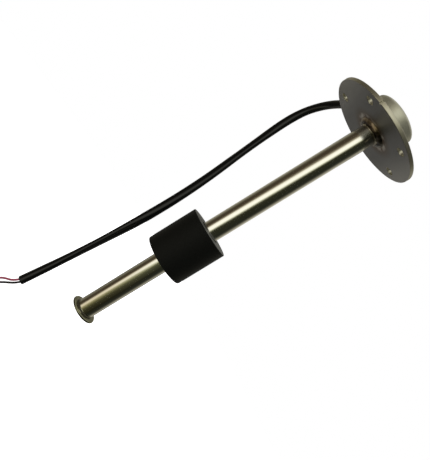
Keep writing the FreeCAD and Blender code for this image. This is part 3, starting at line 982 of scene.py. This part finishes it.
class LEVELSWITCH_OT_float(bpy.types.Operator):
    """Makes the foam float and finishes its magnet and retaining ring"""

    bl_idname = "level_switch.float_unit"
    bl_label = "Float"

    def execute(self, context):
        foam = turned("float_foam", rounded(FLOAT_OUTLINE), steps=160)
        foam.data.materials.append(foam_skin(context.scene.level_switch_colours))
        # Painted light: the flat ends are painted paler than the skin, for the light that they catch at a
        # slant.
        painted_light_foam_end = soft_plastic("painted_light_foam_end_face", linear("#3c3d3a"), 0.6, grain_mm=0.4, depth_mm=0.05)
        foam.data.materials.append(painted_light_foam_end)
        for face in foam.data.polygons:
            face.material_index = 1 if abs(face.normal.z) > FLAT_END else 0
        place_piece(foam, "float", "float_foam", "float_body")
        # Sintered ferrite is dark grey and matt; moulded acetal is black and a little waxy.
        dress("float_magnet", soft_plastic("sintered_ferrite", linear("#2b2b2e"), 0.5, grain_mm=0.2))
        dress("magnet_retainer", soft_plastic("moulded_acetal", linear("#161616"), 0.42))
        return {"FINISHED"}


class LEVELSWITCH_OT_electronics(bpy.types.Operator):
    """Finishes the board, reed switches, resistors, sleeve and inner wires"""

    bl_idname = "level_switch.electronics"
    bl_label = "Reed chain"

    def execute(self, context):
        colours = context.scene.level_switch_colours
        # Solder mask is dark green and satin, polyester film off-white, and vinyl even and slightly shiny.
        dress("circuit_board", soft_plastic("solder_masked_laminate", linear("#23563a"), 0.38))
        dress("insulating_sleeve", soft_plastic("polyester_sleeve", linear("#d9d6c8"), 0.35))
        dress("inner_wire_red", soft_plastic("red_vinyl_inside", colours.red_core, 0.4))
        dress("inner_wire_black", soft_plastic("black_vinyl_inside", colours.black_core, 0.4))
        # The leads are plated bright, and the resistors have dark, satin bodies.
        dress_all("reed_glass", sealed_glass())
        dress_all("reed_leads", plain_metal("plated_nickel_iron", "#c9c2ae", 0.28))
        dress_all("resistor", soft_plastic("thick_film_resistor", linear("#1b1b1f"), 0.45))
        return {"FINISHED"}


def strand_tree():
    """Winds seven fine wires about a line."""
    tree, inputs = node_group(
        "strand_tree",
        [
            ("Strand Diameter", "NodeSocketFloat"),
            ("Twist", "NodeSocketFloat"),
            ("Material", "NodeSocketMaterial"),
        ],
    )
    even = add_node(tree, "GeometryNodeResampleCurve", {"Curve": inputs["Geometry"], "Count": 25})
    along = add_node(tree, "GeometryNodeSplineParameter")
    angle = add_node(tree, "ShaderNodeMath", {0: along, 1: inputs["Twist"]}, operation="MULTIPLY")
    wound = add_node(tree, "GeometryNodeSetCurveTilt", {"Curve": even, "Tilt": angle})
    radius = add_node(tree, "ShaderNodeMath", {0: inputs["Strand Diameter"], 1: 0.5}, operation="MULTIPLY")
    section = add_node(tree, "GeometryNodeCurvePrimitiveCircle", {"Resolution": 10, "Radius": radius})
    ring = add_node(tree, "GeometryNodeMeshCircle", {"Vertices": 6, "Radius": inputs["Strand Diameter"]})
    outer = add_node(tree, "GeometryNodeInstanceOnPoints", {"Points": ring, "Instance": section})
    bundle = add_node(tree, "GeometryNodeJoinGeometry", {0: section})
    tree.links.new(outer.outputs[0], bundle.inputs[0])
    profile = add_node(tree, "GeometryNodeRealizeInstances", {"Geometry": bundle})
    wires = add_node(
        tree, "GeometryNodeCurveToMesh", {"Curve": wound, "Profile Curve": profile, "Fill Caps": True}
    )
    smooth = add_node(tree, "GeometryNodeSetShadeSmooth", {"Geometry": wires})
    close_group(tree, smooth, inputs["Material"])
    return tree


def sheath_tree():
    """Follows a curve with an oval section whose wide side turns along it."""
    tree, inputs = node_group(
        "cable_sheath_tree",
        [
            ("Width", "NodeSocketFloat"),
            ("Height", "NodeSocketFloat"),
            ("Step", "NodeSocketFloat"),
            ("Facing", "NodeSocketVector"),
            ("Material", "NodeSocketMaterial"),
        ],
    )
    even = add_node(
        tree,
        "GeometryNodeResampleCurve",
        {"Curve": inputs["Geometry"], "Length": inputs["Step"]},
        mode="LENGTH",
    )
    tangent = add_node(tree, "GeometryNodeInputTangent")
    across = add_node(
        tree, "ShaderNodeVectorMath", {0: tangent, 1: inputs["Facing"]}, operation="CROSS_PRODUCT"
    )
    set_normal = add_node(tree, "GeometryNodeSetCurveNormal", {"Curve": even, "Normal": across}, mode="FREE")
    along = add_node(tree, "GeometryNodeSplineParameter")
    turns = add_node(tree, "ShaderNodeFloatCurve", {"Value": along})
    lowest = min(turn for _, turn in SHEATH_TURNS)
    highest = max(turn for _, turn in SHEATH_TURNS)
    points = turns.mapping.curves[0].points
    while len(points) < len(SHEATH_TURNS):
        points.new(0.5, 0.5)
    for point, (place, turn) in zip(points, SHEATH_TURNS):
        point.location = (place, (turn - lowest) / (highest - lowest))
    turns.mapping.update()
    quarter = math.pi / 2
    angle = add_node(
        tree,
        "ShaderNodeMapRange",
        {"Value": turns, "To Min": lowest * quarter, "To Max": highest * quarter},
    )
    tilted = add_node(tree, "GeometryNodeSetCurveTilt", {"Curve": set_normal, "Tilt": angle})
    circle = add_node(tree, "GeometryNodeCurvePrimitiveCircle", {"Resolution": 28, "Radius": 0.5})
    section = add_node(
        tree, "ShaderNodeCombineXYZ", {"X": inputs["Width"], "Y": inputs["Height"], "Z": 1.0}
    )
    oval = add_node(tree, "GeometryNodeTransform", {"Geometry": circle, "Scale": section})
    tube = add_node(
        tree, "GeometryNodeCurveToMesh", {"Curve": tilted, "Profile Curve": oval, "Fill Caps": True}
    )
    smooth = add_node(tree, "GeometryNodeSetShadeSmooth", {"Geometry": tube})
    close_group(tree, smooth, inputs["Material"])
    return tree


class LEVELSWITCH_OT_cable(bpy.types.Operator):
    """Makes the cable's sheath, its two cores and their stripped tips"""

    bl_idname = "level_switch.cable"
    bl_label = "Cable"

    def execute(self, context):
        sizes, colours = context.scene.level_switch_sizes, context.scene.level_switch_colours
        vinyl = soft_plastic(
            "black_vinyl_sheath", colours.sheath, 0.22, grain_mm=1.2, depth_mm=0.004, shine=0.3
        )
        path = nurbs_curve("cable_path", CABLE_ROUTE)
        points = spline_points(path)
        values = {
            "Width": sizes.sheath_width,
            "Height": sizes.sheath_height,
            "Step": 1.0 * MM,
            "Facing": VIEW_DEPTH,
            "Material": vinyl,
        }
        run_group(path, sheath_tree(), values)
        sheath = as_plain_mesh(path, "sheath")
        shade(sheath, CABLE_SHARPNESS)
        place_piece(sheath, "sensor", "sheath_pvc", "cable_sheath")
        on_cable = []
        # Vinyl is even in colour with a soft shine, and tinned strands are bright and a little uneven.
        insulation = {
            "red": soft_plastic("red_vinyl", colours.red_core, 0.45),
            "black": soft_plastic("black_vinyl_core", colours.black_core, 0.45, shine=0.3),
        }
        tin = plain_metal("tinned_copper_strands", "#c4bfb2", 0.3, grain_mm=0.2)
        strands = strand_tree()
        for colour, route in CORE_ROUTES.items():
            core = nurbs_curve(f"core_{colour}_line", route, sizes.core_diameter / 2 / MM)
            core.data.materials.append(insulation[colour])
            piece = as_plain_mesh(core, f"core_{colour}_skin")
            shade(piece, CABLE_SHARPNESS)
            place_piece(piece, "sensor", f"{colour}_pvc", f"core_{colour}")
            end, before = Vector(route[-1]), Vector(route[-2])
            heading = (end - before).normalized()
            ends = [end - heading * TIP_OVERLAP, end + heading * TIP_LENGTH]
            line = nurbs_curve(f"tip_{colour}_line", ends)
            run_group(line, strands, {"Strand Diameter": STRAND_DIAMETER, "Twist": 6.0, "Material": tin})
            tip = as_plain_mesh(line, f"core_{colour}_strands")
            shade(tip, CABLE_SHARPNESS)
            place_piece(tip, "sensor", "tinned_copper", f"core_tip_{colour}")
            on_cable += [piece, tip]
        # Moulded rubber is black and dull.
        dress("cable_grommet", soft_plastic("moulded_rubber_bush", linear("#151515"), 0.55))
        return {"FINISHED"}


class LEVELSWITCH_OT_stage(bpy.types.Operator):
    """Sets the camera, the pale floor and backdrop, the reflecting tent and the light"""

    bl_idname = "level_switch.stage"
    bl_label = "Studio"

    def execute(self, context):
        make_camera(context.scene)
        make_floor(context.scene.level_switch_colours)
        make_tent()
        make_world(context.scene)
        make_lamp()
        context.scene.view_settings.view_transform = "Standard"
        return {"FINISHED"}


CAMERA_PLACE, CAMERA_LENS = Vector((-90.905, -244.512, -88.853)), 34.469


def make_camera(scene):
    camera = bpy.data.objects.new("camera", bpy.data.cameras.new("camera"))
    bpy.context.collection.objects.link(camera)
    # The camera's own axes.
    right = Vector((0.51050106, -0.12837211, 0.85024071))
    up = Vector((-0.7856437, 0.33226854, 0.52188274))
    back = Vector((-0.34950342, -0.93440795, 0.06876871))
    turn = Matrix((right, up, back)).transposed().to_4x4()
    camera.matrix_world = Matrix.Translation(CAMERA_PLACE * MM) @ turn
    camera.data.sensor_width = 36.0
    camera.data.lens = CAMERA_LENS
    camera.data.clip_start = 0.01
    scene.camera = camera


def stage_mesh(name, mesh, material):
    piece = bpy.data.objects.new(name, mesh)
    mesh.materials.append(material)
    bpy.context.collection.objects.link(piece)
    return piece


FLOOR_HEIGHT, FLOOR_RADIUS = -0.45, 1.6


def make_floor(colours):
    """A pale floor under the hanging part, which the camera sees as white apart from the shadow on it."""
    material, tree = new_material("white_paper_floor")
    seen = add_node(tree, "ShaderNodeLightPath").outputs["Is Camera Ray"]
    paper = add_node(tree, "ShaderNodeBsdfPrincipled", {"Base Color": colours.backdrop, "Roughness": 0.9})
    _, distance = around_axis(tree, add_node(tree, "ShaderNodeTexCoord").outputs["Object"])
    away = add_node(
        tree,
        "ShaderNodeMapRange",
        {"Value": distance, "From Min": 0.22, "From Max": 0.7, "To Min": 0.04, "To Max": 0.9},
    )
    strength = add_node(tree, "ShaderNodeMath", {0: seen, 1: away}, operation="MULTIPLY")
    glow = add_node(tree, "ShaderNodeEmission", {"Color": colours.backdrop, "Strength": strength})
    both = add_node(tree, "ShaderNodeAddShader", {0: paper, 1: glow})
    add_node(tree, "ShaderNodeOutputMaterial", {"Surface": both})
    mesh = bpy.data.meshes.new("floor")
    form = bmesh.new()
    bmesh.ops.create_circle(form, cap_ends=True, segments=96, radius=FLOOR_RADIUS)
    bmesh.ops.translate(form, verts=form.verts, vec=(0, 0, FLOOR_HEIGHT))
    form.to_mesh(mesh)
    form.free()
    floor = stage_mesh("floor", mesh, material)
    floor.visible_glossy = False


TENT_STRENGTH, TENT_RADIUS = 1.45, 2.0
WINDOW_BEARING = math.radians(-20)
DUSK_TINT = (0.62, 0.55, 0.43)
# Tones of the reflecting tent by bearing, in degrees from the camera's side towards VIEW_SIDE.
TENT_TONES = [
    (-152, "#b4b0a4"),
    (-126, "#787465"),
    (-108, "#5a5648"),
    (-90, "#3c3528"),
    (-60, "#40382b"),
    (-46, "#5a5242"),
    (-34, "#968f7b"),
    (-24, "#f0ecdc"),
    (-10, "#fffff4"),
    (6, "#f8f8e8"),
    (15, "#a8a890"),
    (24, "#3a3a2a"),
    (34, "#26271c"),
    (84, "#22241d"),
    (100, "#45443a"),
    (116, "#7c7a6d"),
    (132, "#9a978a"),
    (152, "#b4b0a4"),
]


def make_tent():
    """A studio tent that only reflections see: dark cloth with a leaning bright window and pale sides."""
    material, tree = new_material("tent_cloth")
    around = add_node(tree, "ShaderNodeTexCoord").outputs["Object"]
    place = add_node(tree, "ShaderNodeVectorMath", {0: around}, operation="NORMALIZE")
    side = add_node(tree, "ShaderNodeVectorMath", {0: place, 1: VIEW_SIDE}, operation="DOT_PRODUCT")
    front = add_node(tree, "ShaderNodeVectorMath", {0: place, 1: -VIEW_DEPTH}, operation="DOT_PRODUCT")
    bearing = add_node(tree, "ShaderNodeMath", {0: side, 1: front}, operation="ARCTAN2")
    height = add_node(tree, "ShaderNodeSeparateXYZ", {0: place}).outputs["Z"]
    # The window leans over, further the lower down, and the sides stay upright.
    from_window = add_node(tree, "ShaderNodeMath", {0: bearing, 1: -WINDOW_BEARING}, operation="ADD")
    aside = add_node(tree, "ShaderNodeMath", {0: from_window}, operation="ABSOLUTE")
    in_window = add_node(
        tree,
        "ShaderNodeMapRange",
        {
            "Value": aside,
            "From Min": math.radians(20),
            "From Max": math.radians(80),
            "To Min": 1.0,
            "To Max": 0.0,
        },
        interpolation_type="SMOOTHSTEP",
    )
    above = add_node(
        tree,
        "ShaderNodeMapRange",
        {"Value": height, "From Min": -0.40, "From Max": 0.24, "To Min": 0.64, "To Max": 0.0},
    )
    lean = add_node(tree, "ShaderNodeMath", {0: above, 1: in_window}, operation="MULTIPLY")
    leaning = add_node(tree, "ShaderNodeMath", {0: bearing, 1: lean}, operation="ADD")
    turned_share = add_node(
        tree, "ShaderNodeMapRange", {"Value": leaning, "From Min": -math.pi, "From Max": math.pi}
    )
    tones = add_node(tree, "ShaderNodeValToRGB", {"Fac": turned_share})
    set_stops(tones, [((degrees + 180) / 360, tone) for degrees, tone in TENT_TONES])
    # Low down, the window fades slowly to its right.
    faded = add_node(
        tree,
        "ShaderNodeMapRange",
        {
            "Value": leaning,
            "From Min": math.radians(8),
            "From Max": math.radians(52),
            "To Min": 0.75,
            "To Max": 0.0,
        },
    )
    beside = add_node(
        tree,
        "ShaderNodeMapRange",
        {"Value": leaning, "From Min": math.radians(-2), "From Max": math.radians(8)},
    )
    lowered = add_node(tree, "ShaderNodeMapRange", {"Value": height, "From Min": -0.20, "From Max": -0.34})
    fading = add_node(tree, "ShaderNodeMath", {0: faded, 1: beside}, operation="MULTIPLY")
    fading = add_node(tree, "ShaderNodeMath", {0: fading, 1: lowered}, operation="MULTIPLY")
    # The ground and the roof behind the part, then the roof overhead.
    behind = add_node(
        tree,
        "ShaderNodeMapRange",
        {"Value": front, "From Min": -0.62, "From Max": -0.88},
        interpolation_type="SMOOTHSTEP",
    )
    low = add_node(
        tree,
        "ShaderNodeMapRange",
        {"Value": height, "From Min": -0.12, "From Max": -0.32},
        interpolation_type="SMOOTHSTEP",
    )
    high = add_node(
        tree,
        "ShaderNodeMapRange",
        {"Value": height, "From Min": 0.20, "From Max": 0.30},
        interpolation_type="SMOOTHSTEP",
    )
    overhead = add_node(
        tree,
        "ShaderNodeMapRange",
        {"Value": height, "From Min": 0.42, "From Max": 0.58},
        interpolation_type="SMOOTHSTEP",
    )
    ground = add_node(tree, "ShaderNodeMath", {0: low, 1: behind}, operation="MULTIPLY")
    roof = add_node(tree, "ShaderNodeMath", {0: high, 1: behind}, operation="MULTIPLY")
    colour = tones
    for share, tone in (
        (fading, "#9a9d78"),
        (ground, "#525355"),
        (roof, "#5d5b50"),
        (overhead, "#b3b1aa"),
    ):
        colour = add_node(
            tree, "ShaderNodeMix", {"Factor": share, "A": colour, "B": linear(tone)}, data_type="RGBA"
        )
    # The cloth is dimmer near the ground, on the camera's side.
    dusk = add_node(tree, "ShaderNodeMapRange", {"Value": height, "From Min": -0.24, "From Max": -0.44})
    ahead = add_node(tree, "ShaderNodeMapRange", {"Value": front, "From Min": 0.2, "From Max": 0.6})
    share = add_node(tree, "ShaderNodeMath", {0: dusk, 1: ahead}, operation="MULTIPLY")
    dimmed = add_node(tree, "ShaderNodeVectorMath", {0: colour, 1: DUSK_TINT}, operation="MULTIPLY")
    colour = add_node(tree, "ShaderNodeMix", {"Factor": share, "A": colour, "B": dimmed}, data_type="RGBA")
    glow = add_node(tree, "ShaderNodeEmission", {"Color": colour, "Strength": TENT_STRENGTH})
    add_node(tree, "ShaderNodeOutputMaterial", {"Surface": glow})
    material.cycles.emission_sampling = "NONE"
    mesh = bpy.data.meshes.new("tent")
    form = bmesh.new()
    bmesh.ops.create_uvsphere(form, u_segments=64, v_segments=32, radius=TENT_RADIUS)
    form.to_mesh(mesh)
    form.free()
    tent = stage_mesh("tent", mesh, material)
    tent.visible_camera = tent.visible_diffuse = tent.visible_shadow = False
    tent.visible_transmission = tent.visible_volume_scatter = False


SKY_STRENGTH = 0.55
LAMP_SIZE, LAMP_POWER = 0.26, 13.0
LAMP_PLACE, LAMP_TARGET = Vector((0.59, 0.15, 0.9)), Vector((0.0, 0.0, -0.1))


def make_world(scene):
    """White behind the part, and an even light on it."""
    world = bpy.data.worlds.new("studio")
    world.use_nodes = True
    tree = world.node_tree
    tree.nodes.clear()
    path = add_node(tree, "ShaderNodeLightPath")
    seen = path.outputs["Is Camera Ray"]
    for ray in ("Is Transmission Ray", "Is Glossy Ray"):
        seen = add_node(tree, "ShaderNodeMath", {0: seen, 1: path.outputs[ray]}, operation="MAXIMUM")
    white = add_node(tree, "ShaderNodeBackground", {"Color": linear("#ffffff"), "Strength": 1.0})
    light = add_node(tree, "ShaderNodeBackground", {"Color": linear("#ffffff"), "Strength": SKY_STRENGTH})
    both = add_node(tree, "ShaderNodeMixShader", {0: seen, 1: light, 2: white})
    add_node(tree, "ShaderNodeOutputWorld", {"Surface": both})
    scene.world = world


def make_lamp():
    """One soft lamp high on the right and a little behind; the shadow falls left and towards the camera."""
    lamp = bpy.data.objects.new("soft_lamp", bpy.data.lights.new("soft_lamp", "AREA"))
    bpy.context.collection.objects.link(lamp)
    lamp.data.shape = "DISK"
    lamp.data.size = LAMP_SIZE
    lamp.data.energy = LAMP_POWER
    lamp.location = LAMP_PLACE
    lamp.rotation_mode = "QUATERNION"
    lamp.rotation_quaternion = (LAMP_TARGET - LAMP_PLACE).to_track_quat("-Z", "Y")
    lamp.visible_glossy = False


class LEVELSWITCH_PT_panel(bpy.types.Panel):
    bl_label = "Float level switch"
    bl_idname = "LEVELSWITCH_PT_panel"
    bl_space_type = "VIEW_3D"
    bl_region_type = "UI"
    bl_category = "Level switch"

    def draw(self, context):
        layout = self.layout
        for group in (context.scene.level_switch_sizes, context.scene.level_switch_colours):
            for name in group.bl_rna.properties.keys():
                if name not in ("rna_type", "name"):
                    layout.prop(group, name)
        for operator in OPERATORS:
            layout.operator(operator.bl_idname)


OPERATORS = (
    LEVELSWITCH_OT_stage,
    LEVELSWITCH_OT_cable,
    LEVELSWITCH_OT_flange,
    LEVELSWITCH_OT_steel,
    LEVELSWITCH_OT_welds,
    LEVELSWITCH_OT_float,
    LEVELSWITCH_OT_electronics,
)
CLASSES = (LevelSwitchSizes, LevelSwitchColours, *OPERATORS, LEVELSWITCH_PT_panel)


def register():
    for item in CLASSES:
        bpy.utils.register_class(item)
    bpy.types.Scene.level_switch_sizes = PointerProperty(type=LevelSwitchSizes)
    bpy.types.Scene.level_switch_colours = PointerProperty(type=LevelSwitchColours)


def unregister():
    del bpy.types.Scene.level_switch_colours
    del bpy.types.Scene.level_switch_sizes
    for item in reversed(CLASSES):
        bpy.utils.unregister_class(item)


def main():
    register()
    for operator in OPERATORS:
        group, name = operator.bl_idname.split(".")
        getattr(getattr(bpy.ops, group), name)()


if __name__ == "__main__":
    main()
